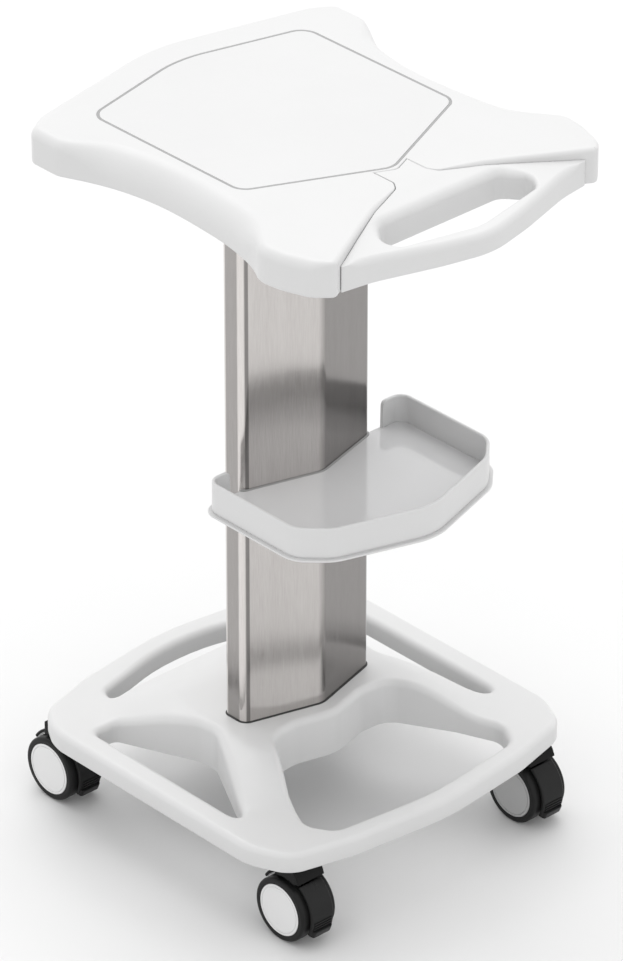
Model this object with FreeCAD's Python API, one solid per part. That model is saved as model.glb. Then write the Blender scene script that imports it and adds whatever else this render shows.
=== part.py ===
import FreeCAD, Part
import math
import os

from FreeCAD import Vector

os.makedirs("parts", exist_ok=True)

# Millimetres. +Z is up, the push handle is on -Y, the trolley is mirrored about X = 0.
# Sizes along Y are measured from the line midway between the wheel centres and moved
# by frame_shift_y when a part is saved, so the whole box is centred on the origin.
frame_shift_y = 35.7

# ---- overall heights
top_height = 847.0
slab_thickness = 41.0
caster_headroom = 20.0
rim_height = 24.0
hub_height = 54.0
shelf_floor = 440.0

# ---- clearances
seam_gap = 0.25
drop_in_gap = 0.6
running_gap = 0.05
slide_gap = 0.5

# ---- table top, half outline from the rear middle to the front wing tip: (x, y, corner radius)
# a corner radius of None takes the largest radius that fits
top_half = [
    (0.0, 229.0, 160.0),
    (190.0, 187.0, 40.0),
    (218.0, 169.0, 20.0),
    (218.0, 126.0, 45.0),
    (195.0, 74.0, None),
    (184.0, 14.0, None),
    (184.0, -34.0, None),
    (189.5, -108.0, None),
    (203.0, -160.0, None),
    (218.0, -186.0, 40.0),
    (214.0, -214.0, 30.0),
    (203.0, -246.0, 26.0),
    (184.0, -263.0, 7.0),
]
# seam between the wings and the handle, from the wing tip to the tongue
seam_half = [
    (118.0, -226.5, 90.0),
    (76.0, -204.0, 60.0),
    (30.0, -186.0, 12.0),
    (23.5, -176.0, 6.0),
]
tongue_root_y = -141.0
shell_wall = 5.0
shell_edge_round = 11.0

# ---- writing panel in the table top
panel_half = [(0.0, 184.6, 14.0), (152.0, 148.0, 14.0), (152.0, -83.7, 14.0), (0.0, -152.7, 14.0)]
panel_thickness = 2.4

# ---- handle
handle_outer_half = [(173.0, -256.5, 3.0), (134.0, -263.5, 120.0), (61.0, -286.0, 200.0), (0.0, -300.0, 90.0)]
grip_hole_half = [(0.0, -220.0, 0.0), (84.0, -220.0, 16.0), (106.0, -246.0, 14.0), (96.0, -263.0, 14.0),
                  (0.0, -281.0, 60.0)]
handle_front_drop = 16.0
handle_edge_round = 7.0
grip_edge_round = 5.0

# ---- table top inside
under_cover_thickness = 3.0
top_frame_size = (230.0, 150.0, 5.0)
top_frame_y = -10.0
rib_rise = 18.0
boss_radius = 9.0
boss_spread = (95.0, 55.0)

# ---- column, elongated six-sided profile
column_half_width = 92.5
column_side_front = -19.1
column_side_rear = 11.5
column_nose = 26.0
column_sheet = 1.5
column_corner = 6.0
column_nose_round = 22.0
core_side_room = 42.5
core_depth = 32.0
core_wall = 3.0
flange_side_room = 17.5
flange_depth = 34.0
flange_thickness = 6.0
bolt_edge = 9.0
core_y = 0.5 * (column_side_front + column_side_rear)
gasket_thickness = 2.0
gasket_width = 2.0

# ---- shelf tray
tray_half = [(0.0, -218.5, 60.0), (112.0, -183.0, 38.0), (142.0, -154.0, 26.0), (142.0, -16.0, 16.0)]
tray_wall = 4.0
tray_wall_height = 33.5
tray_floor_thickness = 5.0
tray_lip = 4.3
tray_lip_thickness = 2.2
tray_return_room = 18.5
tray_mat_thickness = 1.2
bracket_size = (120.0, 70.0, 4.0)
bracket_flange = 34.0

# ---- base moulding
base_half = [
    (0.0, 226.5, 260.0),
    (128.0, 209.0, 120.0),
    (198.0, 188.0, 34.0),
    (221.5, 150.0, 60.0),
    (221.5, -166.0, 60.0),
    (200.0, -212.0, 34.0),
    (122.0, -231.5, 120.0),
    (0.0, -245.0, 260.0),
]
base_edge_round = 9.0
# openings as (x, y, corner radius)
side_opening = [(191.0, -134.0, 9.0), (191.0, 116.0, 9.0), (163.0, 112.0, 9.0), (123.0, 20.0, 30.0),
                (121.0, -6.0, 30.0)]
front_opening_half = [(0.0, -68.0, 40.0), (48.0, -55.0, 30.0), (84.0, -57.0, 22.0), (124.0, -126.0, 50.0),
                      (145.0, -176.0, 22.0), (128.0, -205.0, 18.0), (0.0, -220.0, 260.0)]
rear_opening_half = [(0.0, 147.0, 200.0), (135.0, 149.0, 8.0), (126.0, 171.0, 10.0), (0.0, 202.5, 220.0)]

# ---- steel frame in the base
frame_plate = 6.0
frame_recess = 1.0
frame_hub_side_room = 6.5
frame_hub_depth = 88.0
frame_arm_width = 22.0
frame_pad_radius = 19.0
front_arm_bend = (134.0, -94.0)
rear_arm_bend = (120.0, 84.0)
socket_radius = 15.0
socket_height = 13.0

# ---- casters
caster_x = 171.7
wheel_y = 188.7
wheel_radius = 37.5
trail = 8.0
wheel_width = 17.0
caster_half_width = 24.3
tyre_thickness = 7.1
tyre_round = 5.5
groove_inset = 3.2
groove_width = 0.9
groove_depth = 0.6
cap_round = 1.2
axle_radius = 4.0
stem_radius = 5.5
cheek_inner = 2.4
web_corners = [(-0.32, -0.16), (0.32, -0.16), (0.83, 0.53), (0.59, 0.96), (-0.53, 1.07)]
cheek_outer = 5.0
hub_boss_radius = 8.5
hub_boss_gap = 0.3
hood_half_width = 12.5
hood_gap = 1.9
hood_thickness = 3.6
housing_radius = 17.0
race_height = 3.0
pedal_arm = 1.9
pedal_half_width = 15.5
pedal_thickness = 3.8
pedal_top_angle = 58.0
pedal_toe_angle = -26.0
pedal_lip_reach = 5.5
pedal_bore_gap = 0.2

# ---- sizes that follow from the ones above
base_bottom = 2.0 * wheel_radius + caster_headroom
hub_top = base_bottom + hub_height
rim_radius = wheel_radius - tyre_thickness
groove_radius = rim_radius - groove_inset
hood_inner = wheel_radius + hood_gap
hood_top = wheel_radius + hood_inner + hood_thickness
core_size = (2.0 * (column_half_width - core_side_room), core_depth)
flange_size = (2.0 * (column_half_width - flange_side_room), flange_depth)
bolt_x = 0.5 * flange_size[0] - bolt_edge
frame_hub = (2.0 * (column_half_width - frame_hub_side_room), frame_hub_depth)
tray_return_end = column_half_width + tray_return_room

# ---- fasteners
screw_radius = 2.5
screw_head_radius = 4.5
screw_head_height = 3.0
bolt_radius = 4.0
bolt_head_radius = 6.5
bolt_head_height = 5.0


def save(name, shape):
    shape.translate(Vector(0.0, frame_shift_y, 0.0))
    shape.exportStep("parts/" + name + ".step")


def mirrored(half):
    """Close a half outline given from the rear middle to the front middle."""
    left = [(-x, y, r) for x, y, r in reversed(half) if x > 0.0]
    return half + left


def rounded(points, z):
    """Closed wire at height z with tangent arcs at the corners."""
    count = len(points)
    starts = []
    ends = []
    mids = []
    for i in range(count):
        px, py = points[i - 1][:2]
        cx, cy, radius = points[i]
        nx, ny = points[(i + 1) % count][:2]
        back = Vector(px - cx, py - cy, 0.0)
        ahead = Vector(nx - cx, ny - cy, 0.0)
        limit = 0.46 * min(back.Length, ahead.Length)
        half_angle = 0.5 * back.getAngle(ahead)
        corner = Vector(cx, cy, z)
        flat = abs(math.pi / 2.0 - half_angle) < 0.004
        if radius is None:
            tangent = limit
        else:
            tangent = min(limit, radius / math.tan(half_angle))
        if flat or tangent < 0.01:
            starts.append(corner)
            ends.append(corner)
            mids.append(None)
            continue
        radius = tangent * math.tan(half_angle)
        back.normalize()
        ahead.normalize()
        inward = (back + ahead).normalize()
        centre = corner + inward * (radius / math.sin(half_angle))
        starts.append(corner + back * tangent)
        ends.append(corner + ahead * tangent)
        mids.append(centre - inward * radius)
    edges = []
    for i in range(count):
        if mids[i] is not None:
            edges.append(Part.Arc(starts[i], mids[i], ends[i]).toShape())
        following = starts[(i + 1) % count]
        if (following - ends[i]).Length > 0.001:
            edges.append(Part.makeLine(ends[i], following))
    return Part.Wire(Part.__sortEdges__(edges))


def prism(points, z0, z1):
    face = Part.Face(rounded(points, z0))
    return face.extrude(Vector(0.0, 0.0, z1 - z0))


def inset_prism(points, inset, z0, z1):
    wire = rounded(points, z0).makeOffset2D(-inset)
    return Part.Face(wire).extrude(Vector(0.0, 0.0, z1 - z0))


def box(x0, x1, y0, y1, z0, z1):
    return Part.makeBox(x1 - x0, y1 - y0, z1 - z0, Vector(x0, y0, z0))


def post(x, y, radius, z0, z1):
    return Part.makeCylinder(radius, z1 - z0, Vector(x, y, z0))


def rod(centre, radius, x0, x1):
    start = Vector(x0, centre[0], centre[1])
    return Part.makeCylinder(radius, x1 - x0, start, Vector(1.0, 0.0, 0.0))


def round_edges(shape, radius, wanted):
    edges = [edge for edge in shape.Edges if wanted(edge)]
    return shape.makeFillet(radius, edges)


def at_height(z):
    def wanted(edge):
        return abs(edge.BoundBox.ZMin - z) < 0.01 and abs(edge.BoundBox.ZMax - z) < 0.01
    return wanted


def fused(shapes):
    result = shapes[0].multiFuse(shapes[1:])
    return result.removeSplitter()


top_bottom = top_height - slab_thickness
under_top = top_bottom + under_cover_thickness
rib_bottom = top_bottom + rib_rise
rim_top = base_bottom + rim_height
four = [(-1, -1), (1, -1), (-1, 1), (1, 1)]


# ---- table top shell
def full_top_outline():
    return mirrored(top_half + [(x, y, r) for x, y, r in seam_half] + [(23.5, tongue_root_y, 0.0)])


def on_outer_outline(edge):
    if not at_height(top_height)(edge):
        return False
    middle = edge.valueAt(0.5 * (edge.FirstParameter + edge.LastParameter))
    seam_side = middle.y < -140.0 and abs(middle.x) < 183.0
    return not seam_side


def make_top_shell():
    shell = prism(full_top_outline(), top_bottom, top_height)
    shell = round_edges(shell, shell_edge_round, on_outer_outline)
    cavity = inset_prism(full_top_outline(), shell_wall, top_bottom, top_height - shell_wall)
    shell = shell.cut(cavity)
    recess = prism(mirrored(panel_half), top_height - panel_thickness, top_height)
    shell = shell.cut(recess)
    bosses = []
    for sx, sy in four:
        x = sx * boss_spread[0]
        y = top_frame_y + sy * boss_spread[1]
        bosses.append(post(x, y, boss_radius, under_top + top_frame_size[2], top_height - shell_wall))
    for y in (-90.0, -10.0, 70.0):
        bosses.append(box(-170.0, 170.0, y - 1.5, y + 1.5, rib_bottom, top_height - shell_wall))
    for x in (-95.0, 0.0, 95.0):
        bosses.append(box(x - 1.5, x + 1.5, -136.0, 160.0, rib_bottom, top_height - shell_wall))
    inside = inset_prism(full_top_outline(), shell_wall - 1.0, top_bottom, top_height - shell_wall)
    ribs = fused(bosses).common(inside)
    shell = fused([shell, ribs])
    for sx, sy in four:
        x = sx * boss_spread[0]
        y = top_frame_y + sy * boss_spread[1]
        shell = shell.cut(post(x, y, screw_radius, top_bottom, top_height - shell_wall - 6.0))
    return shell


save("top_shell", make_top_shell())


def make_panel():
    wire = rounded(mirrored(panel_half), top_height - panel_thickness).makeOffset2D(-drop_in_gap)
    return Part.Face(wire).extrude(Vector(0.0, 0.0, panel_thickness))


save("writing_panel", make_panel())


def handle_outline(front_inset):
    """Handle outline that runs on under the wings; the wings are cut away from it."""
    right = [(23.5 + 4.0, tongue_root_y + 6.0, 0.0), (36.0, -176.0, 0.0), (80.0, -196.0, 0.0)]
    right += [(178.0, -244.0, 0.0), handle_outer_half[0]]
    right += [(x, y + front_inset, r) for x, y, r in handle_outer_half[1:]]
    left = [(-x, y, r) for x, y, r in reversed(right) if x > 0.0]
    return right + left


def bevelled(points_low, points_high, z_low, z_high):
    return Part.makeLoft([rounded(points_low, z_low), rounded(points_high, z_high)], True, True)


def make_handle():
    bevel_start = top_height - handle_front_drop - handle_edge_round
    bevel_end = bevel_start + 2.0 * handle_edge_round
    full = handle_outline(0.0)
    drawn_in = handle_outline(handle_edge_round)
    body = fused([
        prism(full, top_bottom, bevel_start),
        bevelled(full, drawn_in, bevel_start, bevel_end),
        prism(drawn_in, bevel_end, top_height),
    ])
    front = handle_outer_half[-1][1]
    slope_start = seam_half[-1][1]
    wedge = Part.makePolygon([
        Vector(-250.0, slope_start, top_height),
        Vector(-250.0, front - 20.0, top_height - handle_front_drop * 1.16),
        Vector(-250.0, front - 20.0, top_height + 5.0),
        Vector(-250.0, slope_start, top_height + 5.0),
        Vector(-250.0, slope_start, top_height),
    ])
    body = body.cut(Part.Face(wedge).extrude(Vector(500.0, 0.0, 0.0)))
    around = Part.Face(rounded(full_top_outline(), top_bottom - 1.0).makeOffset2D(seam_gap))
    body = body.cut(around.extrude(Vector(0.0, 0.0, slab_thickness + 2.0)))
    body = body.cut(prism(mirrored(panel_half), top_height - panel_thickness, top_height))
    hole = mirrored(grip_hole_half)
    wide = [(x * 1.05, y + (grip_edge_round if y > -240.0 else -grip_edge_round), r) for x, y, r in hole]
    body = body.cut(prism(hole, top_bottom - 1.0, top_height + 1.0))
    return body.cut(bevelled(hole, wide, bevel_start + 2.0, bevel_end + 2.0))


save("push_handle", make_handle())


# ---- column
def column_outline():
    half = [
        (0.0, column_side_rear + column_nose, column_nose_round),
        (column_half_width, column_side_rear, column_corner),
        (column_half_width, column_side_front, column_corner),
        (0.0, column_side_front - column_nose, column_nose_round),
    ]
    return mirrored(half)


def make_under_cover():
    plate = inset_prism(full_top_outline(), shell_wall + seam_gap, top_bottom, under_top)
    hole = Part.Face(rounded(column_outline(), top_bottom - 1.0).makeOffset2D(seam_gap))
    plate = plate.cut(hole.extrude(Vector(0.0, 0.0, 10.0)))
    for x, y in cover_screw_spots:
        plate = plate.cut(post(x, y, screw_radius, top_bottom - 1.0, under_top + 1.0))
    return plate


cover_screw_half = ((150.0, 140.0), (160.0, -40.0), (150.0, -190.0))
cover_screw_spots = [(sx * x, y) for sx in (-1, 1) for x, y in cover_screw_half]
save("under_cover", make_under_cover())


def make_column_shell():
    z0 = base_bottom + frame_recess + frame_plate
    outer = prism(column_outline(), z0, under_top)
    inner = inset_prism(column_outline(), column_sheet, z0, under_top)
    return outer.cut(inner)


save("column_shell", make_column_shell())

frame_top = base_bottom + frame_recess + frame_plate
socket_top = frame_top + socket_height
core_bottom = frame_top + flange_thickness
core_top = under_top - flange_thickness


def make_column_core():
    hx, hy = 0.5 * core_size[0], 0.5 * core_size[1]
    outer = box(-hx, hx, core_y - hy, core_y + hy, core_bottom, core_top)
    inner = box(-hx + core_wall, hx - core_wall, core_y - hy + core_wall, core_y + hy - core_wall,
                core_bottom, core_top)
    return outer.cut(inner)


save("column_core", make_column_core())

flange_bolts = [(sx * bolt_x, core_y) for sx in (-1, 1)]


def make_flange(z0):
    hx, hy = 0.5 * flange_size[0], 0.5 * flange_size[1]
    plate = box(-hx, hx, core_y - hy, core_y + hy, z0, z0 + flange_thickness)
    for x, y in flange_bolts:
        plate = plate.cut(post(x, y, bolt_radius, z0 - 1.0, z0 + flange_thickness + 1.0))
    return plate


save("column_head", make_flange(core_top))
save("column_foot", make_flange(frame_top))


def make_top_frame():
    hx, hy = 0.5 * top_frame_size[0], 0.5 * top_frame_size[1]
    plate = box(-hx, hx, top_frame_y - hy, top_frame_y + hy, under_top, under_top + top_frame_size[2])
    for x, y in flange_bolts:
        plate = plate.cut(post(x, y, bolt_radius, under_top - 1.0, under_top + 10.0))
    for sx, sy in four:
        x = sx * boss_spread[0]
        y = top_frame_y + sy * boss_spread[1]
        plate = plate.cut(post(x, y, screw_radius, under_top - 1.0, under_top + 10.0))
    return plate


save("top_frame", make_top_frame())


def screw_up(x, y, z_head, length):
    """Screw whose head hangs below z_head and whose shank points up."""
    head = post(x, y, screw_head_radius, z_head - screw_head_height, z_head)
    shank = post(x, y, screw_radius - 0.1, z_head, z_head + length)
    return fused([head, shank])


cover_screws = [screw_up(x, y, top_bottom, under_cover_thickness + 1.0) for x, y in cover_screw_spots]
save("cover_screws", Part.makeCompound(cover_screws))


def bolt_down(x, y, z_seat, length):
    """Bolt whose head stands on z_seat and whose shank points down."""
    head = post(x, y, bolt_head_radius, z_seat, z_seat + bolt_head_height)
    shank = post(x, y, bolt_radius - 0.1, z_seat - length, z_seat)
    return fused([head, shank])


head_seat = under_top + top_frame_size[2]
head_bolts = [bolt_down(x, y, head_seat, top_frame_size[2] + flange_thickness) for x, y in flange_bolts]
save("head_bolts", Part.makeCompound(head_bolts))
foot_bolts = [bolt_down(x, y, core_bottom, flange_thickness + frame_plate) for x, y in flange_bolts]
save("foot_bolts", Part.makeCompound(foot_bolts))


def make_gasket(z0):
    outer = rounded(column_outline(), z0).makeOffset2D(gasket_width)
    ring = Part.Face(outer).extrude(Vector(0.0, 0.0, gasket_thickness))
    return ring.cut(prism(column_outline(), z0 - 1.0, z0 + gasket_thickness + 1.0))


save("column_gasket", make_gasket(hub_top))


# ---- shelf tray
def tray_outline():
    return mirrored(tray_half)


def make_tray():
    z_under = shelf_floor - tray_floor_thickness
    floor = prism(tray_outline(), z_under, shelf_floor)
    wall = prism(tray_outline(), shelf_floor, shelf_floor + tray_wall_height)
    wall = wall.cut(inset_prism(tray_outline(), tray_wall, shelf_floor, shelf_floor + tray_wall_height))
    back = tray_half[-1][1]
    gate = box(-tray_return_end, tray_return_end, back - tray_wall - 1.0, back + 2.0,
               shelf_floor, shelf_floor + tray_wall_height + 1.0)
    wall = wall.cut(gate)
    lip = rounded(tray_outline(), z_under).makeOffset2D(tray_lip)
    lip = Part.Face(lip).extrude(Vector(0.0, 0.0, tray_lip_thickness))
    tray = fused([floor, wall, lip])
    hole = Part.Face(rounded(column_outline(), z_under - 1.0).makeOffset2D(seam_gap))
    return tray.cut(hole.extrude(Vector(0.0, 0.0, 60.0)))


save("shelf_tray", make_tray())


def make_tray_mat():
    mat = inset_prism(tray_outline(), tray_wall + slide_gap, shelf_floor, shelf_floor + tray_mat_thickness)
    hole = Part.Face(rounded(column_outline(), shelf_floor - 1.0).makeOffset2D(gasket_width + seam_gap))
    return mat.cut(hole.extrude(Vector(0.0, 0.0, 10.0)))


save("shelf_mat", make_tray_mat())


def tray_seal():
    ring = make_gasket(shelf_floor)
    back = tray_half[-1][1]
    keep = box(-200.0, 200.0, -200.0, back, shelf_floor - 5.0, shelf_floor + 20.0)
    return ring.common(keep)


save("shelf_seal", tray_seal())


def make_bracket():
    """Steel shelf bracket: a plate under the tray with a cut-out for the column nose."""
    z1 = shelf_floor - tray_floor_thickness
    z0 = z1 - bracket_size[2]
    hx = 0.5 * bracket_size[0]
    y1 = column_side_front
    plate = box(-hx, hx, y1 - bracket_size[1] - 40.0, y1, z0, z1)
    nose = Part.Face(rounded(column_outline(), z0 - bracket_flange).makeOffset2D(seam_gap))
    nose = nose.extrude(Vector(0.0, 0.0, 80.0))
    flange = box(-hx, hx, y1 - column_nose - 6.0, y1, z0 - bracket_flange, z0)
    around = Part.Face(rounded(column_outline(), z0 - bracket_flange).makeOffset2D(seam_gap + 4.0))
    flange = flange.common(around.extrude(Vector(0.0, 0.0, bracket_flange)))
    shape = fused([plate.cut(nose), flange.cut(nose)])
    for x, y in bracket_screw_spots:
        shape = shape.cut(post(x, y, screw_radius, z0 - 1.0, z1 + 1.0))
    return shape


bracket_screw_spots = [(sx * 45.0, y) for sx in (-1, 1) for y in (-70.0, -115.0)]
save("shelf_bracket", make_bracket())
bracket_under = shelf_floor - tray_floor_thickness - bracket_size[2]
shelf_screws = [screw_up(x, y, bracket_under, bracket_size[2]) for x, y in bracket_screw_spots]
save("shelf_screws", Part.makeCompound(shelf_screws))


# ---- base moulding
def stem_spot(sx, sy):
    return sx * caster_x, sy * wheel_y - trail


def strip(start, end, half_width, z0, z1):
    """Flat bar with round ends between two points."""
    a = Vector(start[0], start[1], z0)
    b = Vector(end[0], end[1], z0)
    along = (b - a).normalize()
    side = Vector(-along.y, along.x, 0.0) * half_width
    ring = [a - side, b - side, b + side, a + side, a - side]
    bar = Part.Face(Part.makePolygon(ring)).extrude(Vector(0.0, 0.0, z1 - z0))
    return [bar, post(start[0], start[1], half_width, z0, z1), post(end[0], end[1], half_width, z0, z1)]


def frame_shape(grow, z0, z1):
    hx, hy = 0.5 * frame_hub[0] + grow, 0.5 * frame_hub[1] + grow
    pieces = [box(-hx, hx, core_y - hy, core_y + hy, z0, z1)]
    for sx, sy in four:
        bend = front_arm_bend if sy < 0 else rear_arm_bend
        x, y = stem_spot(sx, sy)
        half_width = 0.5 * frame_arm_width + grow
        pieces += strip((sx * 72.0, core_y + sy * 30.0), (sx * bend[0], bend[1]), half_width, z0, z1)
        pieces += strip((sx * bend[0], bend[1]), (x, y), half_width, z0, z1)
        pieces.append(post(x, y, frame_pad_radius + grow, z0, z1))
    return fused(pieces)


def make_base_cover():
    slab = prism(mirrored(base_half), base_bottom, rim_top)
    slab = round_edges(slab, base_edge_round, at_height(rim_top))
    low = [(0.0, 200.0, 0.0), (126.0, 186.0, 0.0), (176.0, 160.0, 0.0), (188.0, 112.0, 0.0),
           (188.0, -130.0, 0.0), (176.0, -182.0, 0.0), (126.0, -204.0, 0.0), (0.0, -216.0, 0.0)]
    high = [(0.0, 52.0, 0.0), (84.0, 46.0, 0.0), (108.0, 40.0, 0.0), (122.0, 20.0, 0.0),
            (122.0, -84.0, 0.0), (110.0, -92.0, 0.0), (92.0, -80.0, 0.0), (0.0, -78.0, 0.0)]
    lower = Part.makePolygon(closed(mirrored(low), rim_top - 4.0))
    upper = Part.makePolygon(closed(mirrored(high), hub_top))
    crown = Part.makeLoft([lower, upper], True, True)
    body = fused([slab, crown])
    cutters = [prism(side_opening, base_bottom - 1.0, hub_top + 5.0)]
    mirror = [(-x, y, r) for x, y, r in reversed(side_opening)]
    cutters.append(prism(mirror, base_bottom - 1.0, hub_top + 5.0))
    cutters.append(prism(mirrored(front_opening_half), base_bottom - 1.0, hub_top + 5.0))
    cutters.append(prism(mirrored(rear_opening_half), base_bottom - 1.0, hub_top + 5.0))
    for cutter in cutters:
        body = body.cut(cutter)
    hole = Part.Face(rounded(column_outline(), base_bottom - 1.0).makeOffset2D(seam_gap))
    body = body.cut(hole.extrude(Vector(0.0, 0.0, 100.0)))
    body = body.cut(frame_shape(slide_gap, base_bottom - 1.0, frame_top))
    for sx, sy in four:
        x, y = stem_spot(sx, sy)
        body = body.cut(post(x, y, socket_radius + slide_gap, base_bottom - 1.0, socket_top))
    for x, y in base_screw_spots:
        body = body.cut(post(x, y, screw_radius, base_bottom - 1.0, frame_top + 12.0))
    return body


def closed(points, z):
    ring = [Vector(p[0], p[1], z) for p in points]
    return ring + [ring[0]]


base_screw_spots = [(sx * x, y) for sx in (-1, 1) for x, y in (front_arm_bend, rear_arm_bend)]
save("base_cover", make_base_cover())


def make_base_frame():
    frame = frame_shape(0.0, base_bottom + frame_recess, frame_top)
    for x, y in flange_bolts:
        frame = frame.cut(post(x, y, bolt_radius, base_bottom, frame_top + 1.0))
    for x, y in base_screw_spots:
        frame = frame.cut(post(x, y, screw_radius, base_bottom, frame_top + 1.0))
    for sx, sy in four:
        x, y = stem_spot(sx, sy)
        frame = frame.cut(post(x, y, stem_radius + 1.0, base_bottom, frame_top + 1.0))
    return frame


save("base_frame", make_base_frame())
base_screws = []
for x, y in base_screw_spots:
    head_z = base_bottom + frame_recess
    base_screws.append(screw_up(x, y, head_z, frame_plate + 10.0))
save("base_screws", Part.makeCompound(base_screws))

sockets = []
races = []
for sx, sy in four:
    x, y = stem_spot(sx, sy)
    cup = post(x, y, socket_radius, frame_top, socket_top)
    cup = cup.cut(post(x, y, stem_radius + running_gap, frame_top - 1.0, socket_top - 2.0))
    sockets.append(cup)
    race_top = base_bottom + frame_recess
    race = post(x, y, housing_radius - 3.0, race_top - race_height, race_top)
    races.append(race.cut(post(x, y, stem_radius + 1.0, base_bottom - 10.0, frame_top)))
save("caster_sockets", Part.makeCompound(sockets))
save("bearing_races", Part.makeCompound(races))


# ---- casters
def band(centre, inner, outer, x0, x1, angle0, angle1):
    """Part of a ring around an X axis; angles from straight ahead (-Y) upwards."""
    y, z = centre
    steps = []
    for radius, a0, a1 in ((inner, angle0, angle1), (outer, angle1, angle0)):
        points = []
        for a in (a0, 0.5 * (a0 + a1), a1):
            t = math.radians(a)
            points.append(Vector(x0, y - radius * math.cos(t), z + radius * math.sin(t)))
        steps.append(points)
    edges = [
        Part.Arc(*steps[0]).toShape(),
        Part.makeLine(steps[0][2], steps[1][0]),
        Part.Arc(*steps[1]).toShape(),
        Part.makeLine(steps[1][2], steps[0][0]),
    ]
    face = Part.Face(Part.Wire(edges))
    return face.extrude(Vector(x1 - x0, 0.0, 0.0))


def make_tyre(centre, inner_x, side):
    """Rubber ring; side is +1 when the outer face looks along +X."""
    x0 = min(inner_x, inner_x + side * wheel_width)
    ring = rod(centre, wheel_radius, x0, x0 + wheel_width)
    ring = ring.makeFillet(tyre_round, [e for e in ring.Edges if e.Length > 200.0])
    return ring.cut(rod(centre, rim_radius, x0 - 1.0, x0 + wheel_width + 1.0))


def make_hub(centre, inner_x, side):
    """White wheel centre with a blind bore and a ring groove in its cap face."""
    outer_x = inner_x + side * wheel_width
    x0 = min(inner_x, outer_x)
    disc = rod(centre, rim_radius, x0, x0 + wheel_width)
    on_cap = [e for e in disc.Edges
              if abs(e.BoundBox.XMin - outer_x) < 0.01 and abs(e.BoundBox.XMax - outer_x) < 0.01]
    disc = disc.makeFillet(cap_round, on_cap)
    boss_end = inner_x - side * (inner_side_space - hub_boss_gap)
    boss = rod(centre, hub_boss_radius, min(inner_x, boss_end), max(inner_x, boss_end))
    hub = fused([disc, boss])
    bore_end = outer_x - side * 3.0
    bore = rod(centre, axle_radius + running_gap, min(boss_end, bore_end), max(boss_end, bore_end))
    hub = hub.cut(bore)
    groove_x = min(outer_x, outer_x - side * groove_depth)
    groove = rod(centre, groove_radius, groove_x, groove_x + groove_depth)
    groove = groove.cut(rod(centre, groove_radius - groove_width, groove_x - 1.0, groove_x + 3.0))
    return hub.cut(groove)


inner_side_space = caster_half_width - wheel_width - cheek_outer


def make_fork(x, wy):
    centre = (wy, wheel_radius)
    stem_y = wy - trail
    race_under = base_bottom + frame_recess - race_height
    housing_top = race_under - slide_gap
    web = Part.makePolygon([
        Vector(x - cheek_outer, wy + across * wheel_radius, (1.0 + up) * wheel_radius)
        for across, up in web_corners + web_corners[:1]
    ])
    web = Part.Face(web).extrude(Vector(2.0 * cheek_outer, 0.0, 0.0))
    hood = band(centre, hood_inner, hood_inner + hood_thickness, x - hood_half_width, x + hood_half_width,
                pedal_top_angle + 6.0, 148.0)
    neck = post(x, stem_y, housing_radius, hood_top - 2.0, housing_top)
    keep_out = []
    for side in (-1, 1):
        a = x + side * (cheek_outer + 0.4)
        b = x + side * (caster_half_width + 1.0)
        keep_out.append(rod(centre, hood_inner, min(a, b), max(a, b)))
    fork = fused([web, hood, neck])
    for clear in keep_out:
        fork = fork.cut(clear)
    slot = band(centre, 0.0001, hood_inner - 0.9, x - cheek_inner, x + cheek_inner, -60.0, 70.0)
    fork = fork.cut(slot)
    fork = fork.cut(rod(centre, 12.0, x - cheek_inner, x + cheek_inner))
    fork = fork.cut(rod(centre, axle_radius, x - 20.0, x + 20.0))
    return fork.cut(post(x, stem_y, stem_radius, hood_top - 10.0, housing_top + 5.0))


def make_stem(x, wy):
    stem_y = wy - trail
    return post(x, stem_y, stem_radius, hood_top, socket_top - 2.0 - slide_gap)


def make_axle(x, wy):
    reach = caster_half_width - 3.0 - slide_gap
    return rod((wy, wheel_radius), axle_radius, x - reach, x + reach)


def make_pedal(x, wy):
    centre = (wy, wheel_radius)
    plate = band(centre, hood_inner, hood_inner + pedal_thickness, x - pedal_half_width,
                 x + pedal_half_width, pedal_toe_angle, pedal_top_angle)
    lip = band(centre, hood_inner, hood_inner + pedal_thickness + pedal_lip_reach,
               x - pedal_half_width, x + pedal_half_width, pedal_toe_angle, pedal_toe_angle + 9.0)
    ribs = []
    for step in range(3):
        a = pedal_toe_angle + 12.0 + 4.5 * step
        ribs.append(band(centre, hood_inner, hood_inner + pedal_thickness + 1.2,
                         x - pedal_half_width + 3.0, x + pedal_half_width - 3.0, a, a + 2.0))
    arm = band(centre, 9.0, hood_inner + 1.0, x - pedal_arm, x + pedal_arm, -14.0, 34.0)
    eye = rod(centre, 10.0, x - pedal_arm, x + pedal_arm)
    pedal = fused([plate, lip, arm, eye] + ribs)
    return pedal.cut(rod(centre, axle_radius + pedal_bore_gap, x - 20.0, x + 20.0))


corner_names = {(-1, -1): "fl", (1, -1): "fr", (-1, 1): "rl", (1, 1): "rr"}
for sx, sy in four:
    x = sx * caster_x
    wy = sy * wheel_y
    tag = corner_names[(sx, sy)]
    save("fork_" + tag, make_fork(x, wy))
    save("stem_" + tag, make_stem(x, wy))
    save("axle_" + tag, make_axle(x, wy))
    save("pedal_" + tag, make_pedal(x, wy))
    for side, label in ((sx, "outer"), (-sx, "inner")):
        inner_x = x + side * (caster_half_width - wheel_width)
        save("tyre_" + label + "_" + tag, make_tyre((wy, wheel_radius), inner_x, side))
        save("hub_" + label + "_" + tag, make_hub((wy, wheel_radius), inner_x, side))
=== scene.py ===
import math

import bmesh
import bpy
from mathutils import Matrix, Vector


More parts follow.
